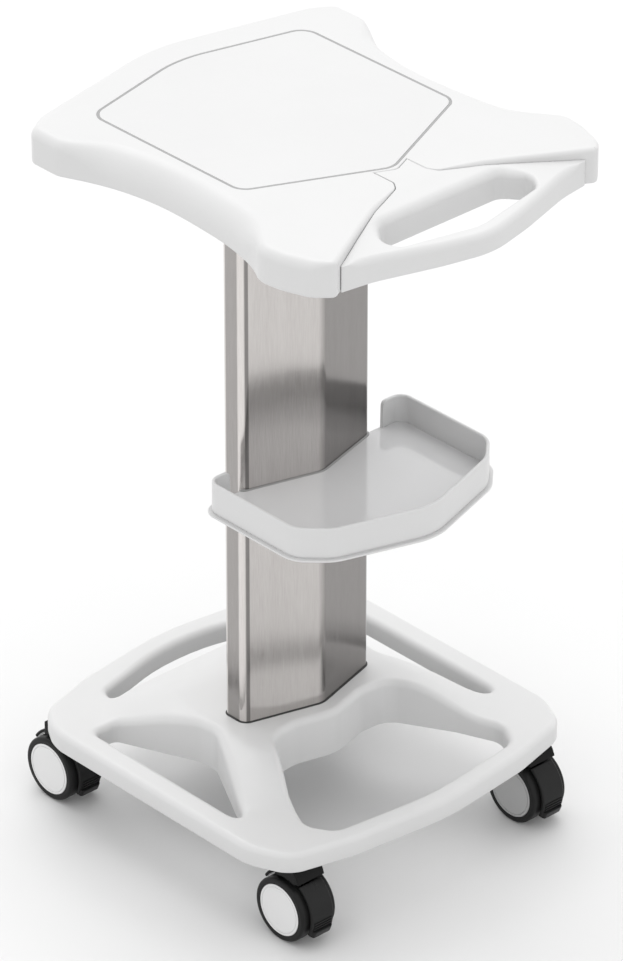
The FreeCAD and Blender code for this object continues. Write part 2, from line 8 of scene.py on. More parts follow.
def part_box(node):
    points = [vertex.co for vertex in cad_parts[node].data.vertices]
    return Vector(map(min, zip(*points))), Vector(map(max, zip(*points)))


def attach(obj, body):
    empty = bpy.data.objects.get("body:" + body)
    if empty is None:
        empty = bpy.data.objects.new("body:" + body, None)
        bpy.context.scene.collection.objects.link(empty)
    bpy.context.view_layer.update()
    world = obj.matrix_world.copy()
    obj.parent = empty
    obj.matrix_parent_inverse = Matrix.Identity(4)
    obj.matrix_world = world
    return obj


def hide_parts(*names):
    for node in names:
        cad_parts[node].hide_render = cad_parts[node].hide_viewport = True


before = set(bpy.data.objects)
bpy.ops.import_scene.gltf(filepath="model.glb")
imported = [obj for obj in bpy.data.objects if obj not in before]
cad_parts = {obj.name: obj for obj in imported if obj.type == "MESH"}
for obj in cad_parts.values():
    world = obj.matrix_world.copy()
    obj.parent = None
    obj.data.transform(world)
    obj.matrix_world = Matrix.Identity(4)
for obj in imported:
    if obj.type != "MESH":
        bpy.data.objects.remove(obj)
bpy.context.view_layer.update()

# Shapes are worked out in millimetres; meshes hold metres.
MM = 0.001


def wheel_mid_line():
    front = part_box("tyre_outer_fl")
    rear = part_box("tyre_outer_rl")
    return 0.25 * (front[0].y + front[1].y + rear[0].y + rear[1].y)


# Sizes along Y are measured from the line midway between the wheels.
MID_Y = wheel_mid_line()
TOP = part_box("top_shell")[1].z / MM
TOP_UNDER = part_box("top_shell")[0].z / MM
BASE_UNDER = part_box("base_cover")[0].z / MM
HUB_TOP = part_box("base_cover")[1].z / MM
RIM_HEIGHT = 24.0
RIM_TOP = BASE_UNDER + RIM_HEIGHT
SHELF_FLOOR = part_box("shelf_mat")[0].z / MM
WHEEL_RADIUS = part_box("tyre_outer_fl")[1].z / MM / 2.0

# ---------------------------------------------------------------- walls and grooves
SHARP_ANGLE = 38.0
LONG_EDGE = 9.0
BASE_LONG_EDGE = 12.0
SHELL_WALL = 5.0
SHELL_CAVITY = 29.0
WAIST_WALL = 27.0
PANEL_GROOVE = 2.4
GROOVE_WIDTH = 2.9
HANDLE_FALL = 17.6
COLUMN_SHEET = 1.5
TRAY_UNDER = 5.0
TRAY_RAIL = 33.5
TRAY_WALL = 4.0
TRAY_LIP = 4.3
GATE_HALF = 110.4
GATE_EDGE = 0.6
GATE_ROUND = 7.0
BASE_WALL = 3.0
BASE_CAVITY = 7.5
CROWN_GRID = 8.0
SHELF_SEAL_LIFT = 1.2

# ---------------------------------------------------------------- casters
WHEEL_STEPS = 80
TYRE_INSIDE = 7.3
TYRE_OUTSIDE = 24.3
TYRE_SEAT = 30.4
HUB_RADIUS = 30.3
HUB_BORE = 4.1
HUB_BOSS = 8.5
GUARD_INSIDE = 39.4
HOOD_OUTSIDE = 43.0
HOOD_HALF = 12.5
HOOD_ANGLES = (64.0, 148.0)
SADDLE_HALF = 19.0
CHEEK_THICKNESS = 2.6
PEDAL_HALF = 15.5
PEDAL_OUTSIDE = 43.2
PEDAL_ANGLES = (-27.0, 58.0)
TOE_ANGLES = (-28.0, -17.0)
RIB_FIRST = -14.0
RIB_PITCH = 4.5
RIB_WIDTH = 2.0
ARM_ANGLES = (-14.0, 34.0)


def place(x, y, z):
    return Vector((x * MM, y * MM + MID_Y, z * MM))


# ---------------------------------------------------------------- outlines
TOP_HALF = [
    (0.0, 229.0, 160.0), (190.0, 187.0, 40.0), (218.0, 169.0, 16.0), (218.0, 126.0, 24.0),
    (195.0, 74.0, 400.0), (184.0, 14.0, 500.0), (184.0, -34.0, 500.0), (189.5, -108.0, 400.0),
    (203.0, -160.0, 400.0), (218.0, -186.0, 28.0), (214.0, -214.0, 30.0), (203.0, -246.0, 26.0),
    (184.0, -263.0, 7.0),
]
SEAM_HALF = [(118.0, -226.5, 90.0), (76.0, -204.0, 60.0), (30.0, -186.0, 12.0), (23.5, -176.0, 6.0),
             (23.5, -145.8, 0.0), (0.0, -156.5, 10.0)]
PANEL_HALF = [(0.0, 184.6, 120.0), (152.0, 148.0, 22.0), (152.0, -83.7, 20.0), (0.0, -152.7, 22.0)]
HANDLE_REAR = [(0.0, -157.2, 10.0), (22.8, -146.8, 0.0), (22.8, -176.2, 6.0), (29.5, -186.5, 12.0),
               (76.0, -204.4, 60.0), (118.0, -226.9, 90.0)]
HANDLE_HALF = [(174.0, -257.8, 1.6), (134.0, -263.5, 120.0), (61.0, -286.0, 200.0), (0.0, -300.0, 90.0)]
GRIP_HOLE = [(0.0, -220.0, 0.0), (84.0, -220.0, 16.0), (106.0, -246.0, 14.0), (96.0, -263.0, 14.0),
             (0.0, -281.0, 60.0)]
COLUMN_HALF = [(0.0, 37.5, 22.0), (92.5, 11.5, 8.0), (92.5, -19.1, 11.0), (0.0, -45.1, 22.0)]
TRAY_HALF = [(0.0, -218.5, 60.0), (112.0, -183.0, 38.0), (142.0, -154.0, 26.0), (142.0, -16.0, 16.0)]
BASE_HALF = [
    (0.0, 226.5, 260.0), (128.0, 209.0, 120.0), (198.0, 188.0, 34.0), (221.5, 150.0, 60.0),
    (221.5, -166.0, 60.0), (200.0, -212.0, 34.0), (122.0, -231.5, 120.0), (0.0, -245.0, 260.0),
]
SIDE_OPENING = [(191.0, -134.0, 9.0), (191.0, 116.0, 9.0), (163.0, 112.0, 9.0), (123.0, 20.0, 30.0),
                (121.0, -6.0, 30.0)]
FRONT_OPENING = [(0.0, -68.0, 40.0), (48.0, -55.0, 30.0), (84.0, -57.0, 28.0), (124.0, -126.0, 50.0),
                 (145.0, -176.0, 22.0), (128.0, -205.0, 18.0), (0.0, -220.0, 260.0)]
REAR_OPENING = [(0.0, 147.0, 200.0), (135.0, 149.0, 8.0), (126.0, 171.0, 10.0), (0.0, 202.5, 220.0)]


def both_sides(half):
    """Whole outline from its right half; points on the middle line are used once."""
    return half + [(-x, y, r) for x, y, r in reversed(half) if x > 0.0]


def other_side(points):
    """The same outline on the left side."""
    return [(-x, y, r) for x, y, r in reversed(points)]


def round_corners(bm, verts, points, degrees):
    """Bevel each corner vertex of a flat polygon to its own radius."""
    count = len(points)
    for i, vert in enumerate(verts):
        x, y, radius = points[i]
        before = Vector((points[i - 1][0] - x, points[i - 1][1] - y))
        after = Vector((points[(i + 1) % count][0] - x, points[(i + 1) % count][1] - y))
        half_angle = 0.5 * before.angle(after)
        reach = min(0.46 * min(before.length, after.length), radius / math.tan(half_angle))
        if radius <= 0.0 or reach < 0.05:
            continue
        steps = max(3, int(round((180.0 - math.degrees(2.0 * half_angle)) / degrees)))
        bmesh.ops.bevel(bm, geom=[vert], offset=reach * MM, offset_type="OFFSET", segments=steps,
                        profile=0.5, affect="VERTICES", material=-1, clamp_overlap=False)


def flat_outline(points, z, bm=None, degrees=5.0):
    """A flat face with rounded corners, made from one vertex per corner."""
    fresh = bmesh.new()
    verts = [fresh.verts.new(place(x, y, z)) for x, y, _ in points]
    fresh.faces.new(verts)
    round_corners(fresh, verts, points, degrees)
    fresh.normal_update()
    if fresh.faces[:][0].normal.z < 0.0:
        bmesh.ops.reverse_faces(fresh, faces=fresh.faces[:])
    if bm is None:
        return fresh
    return merge_into(bm, fresh)[0]


def merge_into(bm, fresh):
    """Copy one bmesh into another and give back the copied faces."""
    mesh = bpy.data.meshes.new("part of a piece")
    fresh.to_mesh(mesh)
    fresh.free()
    known = set(bm.faces)
    bm.from_mesh(mesh)
    bpy.data.meshes.remove(mesh)
    return [face for face in bm.faces if face not in known]


def split_long_edges(bm, face, longest):
    """Cut the long edges of a flat face so that its walls can follow a changing radius."""
    long = [e for e in face.edges if e.calc_length() > longest * MM]
    while long:
        bmesh.ops.subdivide_edges(bm, edges=long, cuts=1)
        long = [e for e in face.edges if e.calc_length() > longest * MM]
    return face


def inward_directions(ring):
    """Direction into the face at each vertex of a flat ring that runs anticlockwise."""
    found = {}
    count = len(ring)
    for i, vert in enumerate(ring):
        a = (vert.co - ring[i - 1].co).normalized()
        b = (ring[(i + 1) % count].co - vert.co).normalized()
        side_a = Vector((-a.y, a.x, 0.0))
        mean = (side_a + Vector((-b.y, b.x, 0.0))).normalized()
        found[vert] = mean / max(0.5, mean.dot(side_a))
    return found


def run_wall(bm, face, levels):
    """Turn a flat face into a wall that visits each level in turn.

    A level is (height, inset); both are functions of the outline point in millimetres. The edges
    of the first and the last ring are given back."""
    ring = [loop.vert for loop in face.loops]
    edges = list(face.edges)
    inward = inward_directions(ring)
    start = {v: v.co.copy() for v in ring}
    home = {v: v for v in ring}
    bmesh.ops.delete(bm, geom=[face], context="FACES_ONLY")
    first_edges = edges
    moving = ring
    for number, (height, inset) in enumerate(levels):
        if number > 0:
            made = bmesh.ops.extrude_edge_only(bm, edges=edges)["geom"]
            moving = [g for g in made if isinstance(g, bmesh.types.BMVert)]
            fresh = set(moving)
            for vert in moving:
                below = [v for e in vert.link_edges for v in e.verts if v not in fresh]
                home[vert] = home[below[0]]
            edges = [g for g in made if isinstance(g, bmesh.types.BMEdge) and set(g.verts) <= fresh]
        for vert in moving:
            origin = start[home[vert]]
            point = design_point(origin)
            vert.co = origin + inward[home[vert]] * (inset(point) * MM)
            vert.co.z = height(point) * MM
    return first_edges, edges


def fixed(value):
    """The same height or inset all along the outline."""
    return lambda point: value


def rounded_rise(bottom, top, under, reach, drop, steps=8, hole=False):
    """Levels from a small rounding at the bottom to a larger one at the top.

    reach and drop give the size of the top rounding at a point: across and down."""
    sign = -1.0 if hole else 1.0
    under_steps = 3
    levels = []
    for i in range(under_steps + 1):
        t = i / under_steps * math.pi / 2.0
        levels.append((
            fixed(bottom + under * (1.0 - math.cos(t))),
            fixed(sign * under * (1.0 - math.sin(t))),
        ))
    for i in range(steps + 1):
        t = i / steps * math.pi / 2.0
        levels.append((
            lambda p, t=t: top - drop(p) * (1.0 - math.sin(t)),
            lambda p, t=t: sign * reach(p) * (1.0 - math.cos(t)),
        ))
    return levels


def smooth01(value, low, high):
    """Eased step from zero at low to one at high."""
    t = min(1.0, max(0.0, (value - low) / (high - low)))
    return t * t * (3.0 - 2.0 * t)


def design_point(co):
    """Millimetres from the middle of the wheelbase for a place in the mesh."""
    return co.x / MM, (co.y - MID_Y) / MM, co.z / MM


def close_flat(bm, edges):
    """Fill the flat region between closed rings of edges."""
    bmesh.ops.triangle_fill(bm, use_beauty=True, use_dissolve=False, edges=edges)


def finish_piece(bm, name, body, finish, replaced=(), weighted=True):
    """Turn a finished bmesh into an object that rides on a body."""
    bmesh.ops.remove_doubles(bm, verts=bm.verts[:], dist=0.000004)
    bmesh.ops.dissolve_degenerate(bm, dist=0.000002, edges=bm.edges[:])
    bmesh.ops.recalc_face_normals(bm, faces=bm.faces[:])
    mesh = bpy.data.meshes.new(name)
    bm.to_mesh(mesh)
    bm.free()
    piece = bpy.data.objects.new(name, mesh)
    bpy.context.scene.collection.objects.link(piece)
    mesh.polygons.foreach_set("use_smooth", [True] * len(mesh.polygons))
    mesh.set_sharp_from_angle(angle=math.radians(SHARP_ANGLE))
    if weighted:
        shading = piece.modifiers.new("even shading", "WEIGHTED_NORMAL")
        shading.keep_sharp = True
        shading.weight = 80
    mesh.materials.append(finish)
    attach(piece, body)
    if replaced:
        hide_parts(*replaced)
    return piece


# ---------------------------------------------------------------- finishes
def new_finish(name):
    """Empty node material and the parts that every finish starts from."""
    material = bpy.data.materials.new(name)
    material.use_nodes = True
    nodes = material.node_tree.nodes
    links = material.node_tree.links
    shader = nodes["Principled BSDF"]
    coords = nodes.new("ShaderNodeTexCoord")
    return material, nodes, links, shader, coords


def set_inputs(node, **values):
    for key, value in values.items():
        node.inputs[key.replace("_", " ")].default_value = value


def stretched(nodes, links, coords, scale):
    mapping = nodes.new("ShaderNodeMapping")
    mapping.inputs["Scale"].default_value = scale
    links.new(coords.outputs["Object"], mapping.inputs["Vector"])
    return mapping


def noise_from(nodes, links, vector, scale, detail=4.0, rough=0.55):
    noise = nodes.new("ShaderNodeTexNoise")
    set_inputs(noise, Scale=scale, Detail=detail, Roughness=rough)
    links.new(vector, noise.inputs["Vector"])
    return noise


def spread(nodes, links, value, low, high, from_low=0.0, from_high=1.0):
    ranged = nodes.new("ShaderNodeMapRange")
    set_inputs(ranged, From_Min=from_low, From_Max=from_high, To_Min=low, To_Max=high)
    links.new(value, ranged.inputs["Value"])
    return ranged.outputs["Result"]


def tint(nodes, links, value, dark, light):
    ramp = nodes.new("ShaderNodeValToRGB")
    ramp.color_ramp.elements[0].color = (*dark, 1.0)
    ramp.color_ramp.elements[1].color = (*light, 1.0)
    links.new(value, ramp.inputs["Fac"])
    return ramp.outputs["Color"]


def bumped(nodes, links, shader, height, strength, distance):
    bump = nodes.new("ShaderNodeBump")
    set_inputs(bump, Strength=strength, Distance=distance)
    links.new(height, bump.inputs["Height"])
    links.new(bump.outputs["Normal"], shader.inputs["Normal"])


def moulded_plastic(name, dark, light, rough_low, rough_high, grain=1800.0, bump=0.05, coat=0.0,
                    sheen=0.5):
    """Injection moulded plastic: faint cloudiness, fine spark-eroded grain, uneven gloss."""
    material, nodes, links, shader, coords = new_finish(name)
    cloud = noise_from(nodes, links, coords.outputs["Object"], 9.0, 3.0)
    links.new(tint(nodes, links, cloud.outputs["Fac"], dark, light), shader.inputs["Base Color"])
    gloss = noise_from(nodes, links, coords.outputs["Object"], 45.0, 5.0)
    rough = spread(nodes, links, gloss.outputs["Fac"], rough_low, rough_high, 0.3, 0.7)
    links.new(rough, shader.inputs["Roughness"])
    fine = noise_from(nodes, links, coords.outputs["Object"], grain, 2.0)
    bumped(nodes, links, shader, fine.outputs["Fac"], bump, 0.0002)
    set_inputs(shader, Metallic=0.0)
    shader.inputs["IOR"].default_value = 1.49
    shader.inputs["Specular IOR Level"].default_value = sheen
    shader.inputs["Coat Weight"].default_value = coat
    shader.inputs["Coat Roughness"].default_value = 0.12
    return material


def painted_shade_by_facing(nodes, links, colour, painted_shade_stops):
    """Painted shade and painted highlight: multiply the colour by the way a face looks, from the left side to
    the right.
    """
    surface = nodes.new("ShaderNodeNewGeometry")
    split = nodes.new("ShaderNodeSeparateXYZ")
    links.new(surface.outputs["True Normal"], split.inputs["Vector"])
    ramp = nodes.new("ShaderNodeValToRGB")
    while len(ramp.color_ramp.elements) < len(painted_shade_stops):
        ramp.color_ramp.elements.new(0.5)
    for stop, (across, tone) in zip(ramp.color_ramp.elements, painted_shade_stops):
        stop.position = 0.5 + 0.5 * across
        stop.color = (tone, tone, tone, 1.0)
    links.new(spread(nodes, links, split.outputs["X"], 0.0, 1.0, -1.0, 1.0), ramp.inputs["Fac"])
    painted_shade_multiply = nodes.new("ShaderNodeMix")
    painted_shade_multiply.data_type = "RGBA"
    painted_shade_multiply.blend_type = "MULTIPLY"
    painted_shade_multiply.inputs["Factor"].default_value = 1.0
    links.new(colour, painted_shade_multiply.inputs[6])
    links.new(ramp.outputs["Color"], painted_shade_multiply.inputs[7])
    return painted_shade_multiply.outputs[2]


def brushed_along(name, axis, dark, light, rough=0.28, stretch=0.7, painted_shade_stops=()):
    """Metal brushed along one axis: short fine streaks in colour, roughness and height, with painted shade
    and painted highlight by facing multiplied into the colour when stops are given.
    """
    material, nodes, links, shader, coords = new_finish(name)
    fine_scale = [1400.0, 1400.0, 1400.0]
    fine_scale[axis] = 45.0
    wide_scale = [110.0, 110.0, 110.0]
    wide_scale[axis] = 2.5
    fine = noise_from(nodes, links, stretched(nodes, links, coords, fine_scale).outputs["Vector"], 1.0, 3.0)
    wide = noise_from(nodes, links, stretched(nodes, links, coords, wide_scale).outputs["Vector"], 1.0, 3.0)
    both = nodes.new("ShaderNodeMix")
    both.data_type = "FLOAT"
    set_inputs(both, Factor=0.3)
    links.new(fine.outputs["Fac"], both.inputs["A"])
    links.new(wide.outputs["Fac"], both.inputs["B"])
    streaks = both.outputs["Result"]
    colour = spread(nodes, links, streaks, 0.0, 1.0, 0.3, 0.7)
    streak_and_painted_shade_colour = tint(nodes, links, colour, dark, light)
    # Painted shade and painted highlight by facing, multiplied into the streak colour.
    if painted_shade_stops:
        streak_and_painted_shade_colour = painted_shade_by_facing(nodes, links, streak_and_painted_shade_colour, painted_shade_stops)
    links.new(streak_and_painted_shade_colour, shader.inputs["Base Color"])
    links.new(spread(nodes, links, streaks, rough - 0.05, rough + 0.07, 0.3, 0.7), shader.inputs["Roughness"])
    bumped(nodes, links, shader, fine.outputs["Fac"], 0.12, 0.0001)
    tangent = nodes.new("ShaderNodeTangent")
    tangent.direction_type = "RADIAL"
    tangent.axis = "Z"
    links.new(tangent.outputs["Tangent"], shader.inputs["Tangent"])
    shader.inputs["Anisotropic"].default_value = stretch
    shader.inputs["Metallic"].default_value = 1.0
    return material


def soft_rubber(name, dark, light, rough_low=0.5, rough_high=0.75, sheen=0.5):
    """Matt rubber with a cloudy tone and a fine skin."""
    material, nodes, links, shader, coords = new_finish(name)
    cloud = noise_from(nodes, links, coords.outputs["Object"], 60.0, 5.0)
    links.new(tint(nodes, links, cloud.outputs["Fac"], dark, light), shader.inputs["Base Color"])
    rough = spread(nodes, links, cloud.outputs["Fac"], rough_low, rough_high, 0.3, 0.7)
    links.new(rough, shader.inputs["Roughness"])
    fine = noise_from(nodes, links, coords.outputs["Object"], 900.0, 3.0)
    bumped(nodes, links, shader, fine.outputs["Fac"], 0.12, 0.0003)
    shader.inputs["Specular IOR Level"].default_value = sheen
    return material


def grey(value):
    return value, value, value


white_shell = moulded_plastic("white_moulding", grey(0.585), grey(0.61), 0.30, 0.42)
white_panel = moulded_plastic("panel_white", grey(0.575), grey(0.605), 0.34, 0.44)
under_grey = moulded_plastic("under_cover_grey", grey(0.55), grey(0.6), 0.5, 0.6)
seam_grey = soft_rubber("seam_strip_grey", grey(0.30), grey(0.34))
# Painted light multiplied into the column's colour by facing: from the face that looks left, over a painted
# highlight on the rounded corner and a painted dark reflection band beside it, to painted shade on the faces
# that look right.
COLUMN_PAINTED_SHADE = (
    (-1.0, 0.66), (-0.997, 0.66), (-0.985, 1.25), (-0.72, 1.25), (-0.62, 0.42), (-0.36, 0.42),
    (-0.29, 1.0), (-0.2, 1.0), (0.2, 0.46), (1.0, 0.54),
)
stainless_with_painted_shade = brushed_along("brushed_stainless", 2, (0.52, 0.495, 0.48), (0.63, 0.605, 0.59), rough=0.20,
                          painted_shade_stops=COLUMN_PAINTED_SHADE)
zinc = brushed_along("zinc_plate", 0, (0.45, 0.46, 0.47), (0.62, 0.63, 0.64), 0.3)
frame_paint = moulded_plastic("frame_powder_coat", (0.10, 0.105, 0.11), (0.14, 0.145, 0.15), 0.5, 0.62,
                              grain=900.0, bump=0.2)
tray_sheet = moulded_plastic("tray_floor_sheet", (0.58, 0.58, 0.585), (0.62, 0.62, 0.625), 0.08, 0.14,
                             coat=0.8)
hood_black = moulded_plastic("hood_black", grey(0.003), grey(0.006), 0.08, 0.14, sheen=0.12)
pedal_black = moulded_plastic("pedal_black", grey(0.010), grey(0.016), 0.26, 0.36, grain=1400.0, bump=0.1,
                              sheen=0.16)
tyre_black = soft_rubber("tyre_black", grey(0.008), grey(0.014), 0.3, 0.45, sheen=0.16)
seal_black = soft_rubber("seal_black", grey(0.012), grey(0.022))
wheel_white = moulded_plastic("wheel_white", grey(0.68), grey(0.71), 0.28, 0.38)
# Darker grey copy of the white wheel moulding for the inner wheel centres: painted shade standing in for the
# shade under the base.
wheel_painted_shade_grey = moulded_plastic("wheel_inner_painted_shade", grey(0.35), grey(0.39), 0.3, 0.4)

CAD_FINISH = {
    "top_shell": white_shell, "writing_panel": white_panel, "push_handle": white_shell,
    "under_cover": under_grey, "top_frame": frame_paint, "cover_screws": zinc, "head_bolts": zinc,
    "column_shell": stainless_with_painted_shade, "column_core": frame_paint, "column_head": frame_paint,
    "column_foot": frame_paint, "foot_bolts": zinc, "column_gasket": seal_black,
    "shelf_tray": white_shell, "shelf_mat": tray_sheet, "shelf_seal": seal_black,
    "shelf_bracket": frame_paint, "shelf_screws": zinc, "base_cover": white_shell,
    "base_frame": frame_paint, "base_screws": zinc, "caster_sockets": zinc, "bearing_races": zinc,
}
for corner in ("fl", "fr", "rl", "rr"):
    CAD_FINISH["fork_" + corner] = hood_black
    CAD_FINISH["stem_" + corner] = zinc
    CAD_FINISH["axle_" + corner] = zinc
    CAD_FINISH["pedal_" + corner] = pedal_black
    for side in ("outer", "inner"):
        CAD_FINISH["tyre_" + side + "_" + corner] = tyre_black
        CAD_FINISH["hub_" + side + "_" + corner] = wheel_white
for node_name, finish in CAD_FINISH.items():
    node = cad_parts[node_name]
    for slot_index in range(len(node.material_slots)):
        node.material_slots[slot_index].material = finish


# ---------------------------------------------------------------- table top
def waist(y):
    """One along the hollow sides of the table top, zero at the wings."""
    return smooth01(y, -180.0, -120.0) * (1.0 - smooth01(y, 66.0, 122.0))


def top_reach(point):
    """Width of the rounding along the top edge: small at the handle's seam, wide at the waists."""
    x, y, _ = point
    if -190.0 < y < -140.0 and abs(x) < 31.0:
        return 1.6
    if y < -180.0 and abs(x) < 183.5:
        return 1.6 + 3.6 * smooth01(abs(x), 31.0, 75.0)
    tip = smooth01(y, -262.0, -240.0)
    return 4.0 + (10.0 + 16.0 * waist(y) - 4.0) * tip


def top_drop(point):
    """Depth of the same rounding."""
    x, y, _ = point
    if (y < -180.0 and abs(x) < 183.5) or (y < -140.0 and abs(x) < 31.0):
        return top_reach(point)
    tip = smooth01(y, -262.0, -240.0)
    return 4.0 + (12.0 + 23.0 * waist(y) - 4.0) * tip


def cavity_wall(point):
    """The hollow under the table top keeps away from the sloping waists."""
    x, y, _ = point
    return SHELL_WALL + WAIST_WALL * waist(y) if abs(x) > 100.0 else SHELL_WALL


def make_table_top():
    """Hollow shell with a recess for the writing panel and a seam edge for the handle."""
    bm = flat_outline(both_sides(TOP_HALF + SEAM_HALF), TOP_UNDER)
    face = split_long_edges(bm, bm.faces[:][0], LONG_EDGE)
    inside = [
        (fixed(TOP_UNDER + SHELL_CAVITY), cavity_wall), (fixed(TOP_UNDER), fixed(SHELL_WALL)),
    ]
    outside = rounded_rise(TOP_UNDER, TOP, 2.0, top_reach, top_drop, 10)
    ceiling, rim = run_wall(bm, face, inside + outside)
    close_flat(bm, ceiling)
    panel = flat_outline(both_sides(PANEL_HALF), TOP, bm)
    recess, edge = run_wall(bm, panel, [
        (fixed(TOP - PANEL_GROOVE), fixed(0.0)), (fixed(TOP - 0.8), fixed(0.0)),
        (fixed(TOP - 0.3), fixed(-0.2)), (fixed(TOP), fixed(-0.8)),
    ])
    close_flat(bm, recess)
    close_flat(bm, rim + edge)
    return finish_piece(bm, "table_top_shell", "trolley", white_shell, ["top_shell"])


def make_writing_panel():
    """Flush panel with a small rounding around its upper edge."""
    bm = flat_outline(both_sides(PANEL_HALF), TOP)
    low, high = run_wall(bm, bm.faces[:][0], [
        (fixed(TOP - PANEL_GROOVE), fixed(GROOVE_WIDTH)), (fixed(TOP - 0.8), fixed(GROOVE_WIDTH)),
        (fixed(TOP - 0.3), fixed(GROOVE_WIDTH + 0.2)), (fixed(TOP), fixed(GROOVE_WIDTH + 0.8)),
    ])
    close_flat(bm, low)
    close_flat(bm, high)
    return finish_piece(bm, "writing_panel_sheet", "trolley", white_panel, ["writing_panel"])


def make_panel_seam():
    """Grey sealing strip that lies in the groove around the writing panel."""
    gap = 0.05
    foot, shoulder, crest = TOP - PANEL_GROOVE + 0.1, TOP - 0.9, TOP - 0.5
    bm = flat_outline(both_sides(PANEL_HALF), TOP)
    first, last = run_wall(bm, bm.faces[:][0], [
        (fixed(foot), fixed(GROOVE_WIDTH - gap)), (fixed(shoulder), fixed(GROOVE_WIDTH - gap)),
        (fixed(crest), fixed(GROOVE_WIDTH - 0.6)), (fixed(crest), fixed(0.6)),
        (fixed(shoulder), fixed(gap)), (fixed(foot), fixed(gap)),
    ])
    bmesh.ops.bridge_loops(bm, edges=first + last)
    return finish_piece(bm, "panel_seam_strip", "trolley", seam_grey)


def handle_reach(point):
    """Width of the rounding along the handle's top edge: wide only along its front."""
    x, y, _ = point
    if y < -257.9 and abs(x) < 173.8:
        return 0.6 + 6.0 * smooth01(166.0 - abs(x), 0.0, 20.0)
    return 0.6 + 0.6 * smooth01(166.0 - abs(x), 0.0, 10.0)


def handle_drop(point):
    """The rounding is deeper than wide where it is large."""
    reach = handle_reach(point)
    return reach * 1.9 if reach > 2.4 else reach


def handle_slope(y):
    """Height of the handle's top: level at the panel, falling towards the front."""
    fall_start, fall_run = -176.0, 124.0
    return TOP - HANDLE_FALL * max(0.0, fall_start - y) / fall_run * smooth01(-y, 172.0, 200.0)


def grip_reach(point):
    return 5.5 + 5.0 * smooth01(point[1], -246.0, -228.0)


def grip_drop(point):
    return 8.0 + 4.0 * smooth01(point[1], -246.0, -228.0)


def make_push_handle():
    """Tongue, grip hole and front bar in one moulding, cut across so that its top can fall."""
    bm = flat_outline(both_sides(HANDLE_REAR + HANDLE_HALF), TOP_UNDER)
    face = split_long_edges(bm, bm.faces[:][0], LONG_EDGE)
    under, over = run_wall(bm, face, rounded_rise(TOP_UNDER, TOP, 0.6, handle_reach, handle_drop))
    grip = split_long_edges(bm, flat_outline(both_sides(GRIP_HOLE), TOP_UNDER, bm), LONG_EDGE)
    grip_levels = rounded_rise(TOP_UNDER, TOP, 2.5, grip_reach, grip_drop, hole=True)
    hole_under, hole_over = run_wall(bm, grip, grip_levels)
    close_flat(bm, under + hole_under)
    close_flat(bm, over + hole_over)
    for y in (-172.0, -176.0, -180.0, -184.0, -188.0, -192.0, -196.0, -200.0, -208.0, -216.0):
        geom = bm.verts[:] + bm.edges[:] + bm.faces[:]
        bmesh.ops.bisect_plane(bm, geom=geom, plane_co=place(0.0, y, 0.0), plane_no=(0.0, 1.0, 0.0))
    for vert in bm.verts:
        _, y, z = design_point(vert.co)
        share = (z - TOP_UNDER) / (TOP - TOP_UNDER)
        vert.co.z = (TOP_UNDER + share * (handle_slope(y) - TOP_UNDER)) * MM
    return finish_piece(bm, "push_handle_moulding", "trolley", white_shell, ["push_handle"])


# ---------------------------------------------------------------- column
def make_column():
    """Folded sheet around the core, open at both ends."""
    bm = flat_outline(both_sides(COLUMN_HALF), BASE_UNDER, degrees=3.0)
    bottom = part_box("column_shell")[0].z / MM
    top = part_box("column_shell")[1].z / MM
    levels = [
        (fixed(bottom), fixed(COLUMN_SHEET)), (fixed(bottom), fixed(0.0)),
        (fixed(top), fixed(0.0)), (fixed(top), fixed(COLUMN_SHEET)),
    ]
    inner, outer = run_wall(bm, bm.faces[:][0], levels)
    bmesh.ops.bridge_loops(bm, edges=inner + outer)
    return finish_piece(bm, "column_sheet", "trolley", stainless_with_painted_shade, ["column_shell"])


def make_foot_seal():
    """Thin dark bead where the column stands on the base."""
    bm = flat_outline(both_sides(COLUMN_HALF), HUB_TOP)
    first, last = run_wall(bm, bm.faces[:][0], [
        (fixed(HUB_TOP - 0.5), fixed(0.05)), (fixed(HUB_TOP - 0.5), fixed(-1.6)),
        (fixed(HUB_TOP + 0.3), fixed(-1.5)), (fixed(HUB_TOP + 0.9), fixed(-0.9)),
        (fixed(HUB_TOP + 1.1), fixed(0.05)),
    ])
    bmesh.ops.bridge_loops(bm, edges=first + last)
    return finish_piece(bm, "column_foot_seal", "trolley", seal_black, ["column_gasket"])


def make_shelf_seal():
    """Thin dark bead between the tray floor and the column."""
    z = SHELF_FLOOR + SHELF_SEAL_LIFT
    bm = flat_outline(both_sides(COLUMN_HALF), z)
    first, last = run_wall(bm, bm.faces[:][0], [
        (fixed(z - 1.1), fixed(0.05)), (fixed(z - 1.1), fixed(-1.9)), (fixed(z + 0.1), fixed(-1.9)),
        (fixed(z + 0.5), fixed(-0.7)), (fixed(z + 0.6), fixed(0.05)),
    ])
    bmesh.ops.bridge_loops(bm, edges=first + last)
    geom = bm.verts[:] + bm.edges[:] + bm.faces[:]
    bmesh.ops.bisect_plane(bm, geom=geom, plane_co=place(0.0, TRAY_HALF[-1][1], 0.0),
                           plane_no=(0.0, 1.0, 0.0), clear_outer=True)
    bmesh.ops.holes_fill(bm, edges=[e for e in bm.edges if e.is_boundary], sides=0)
    return finish_piece(bm, "shelf_column_seal", "trolley", seam_grey, ["shelf_seal"])


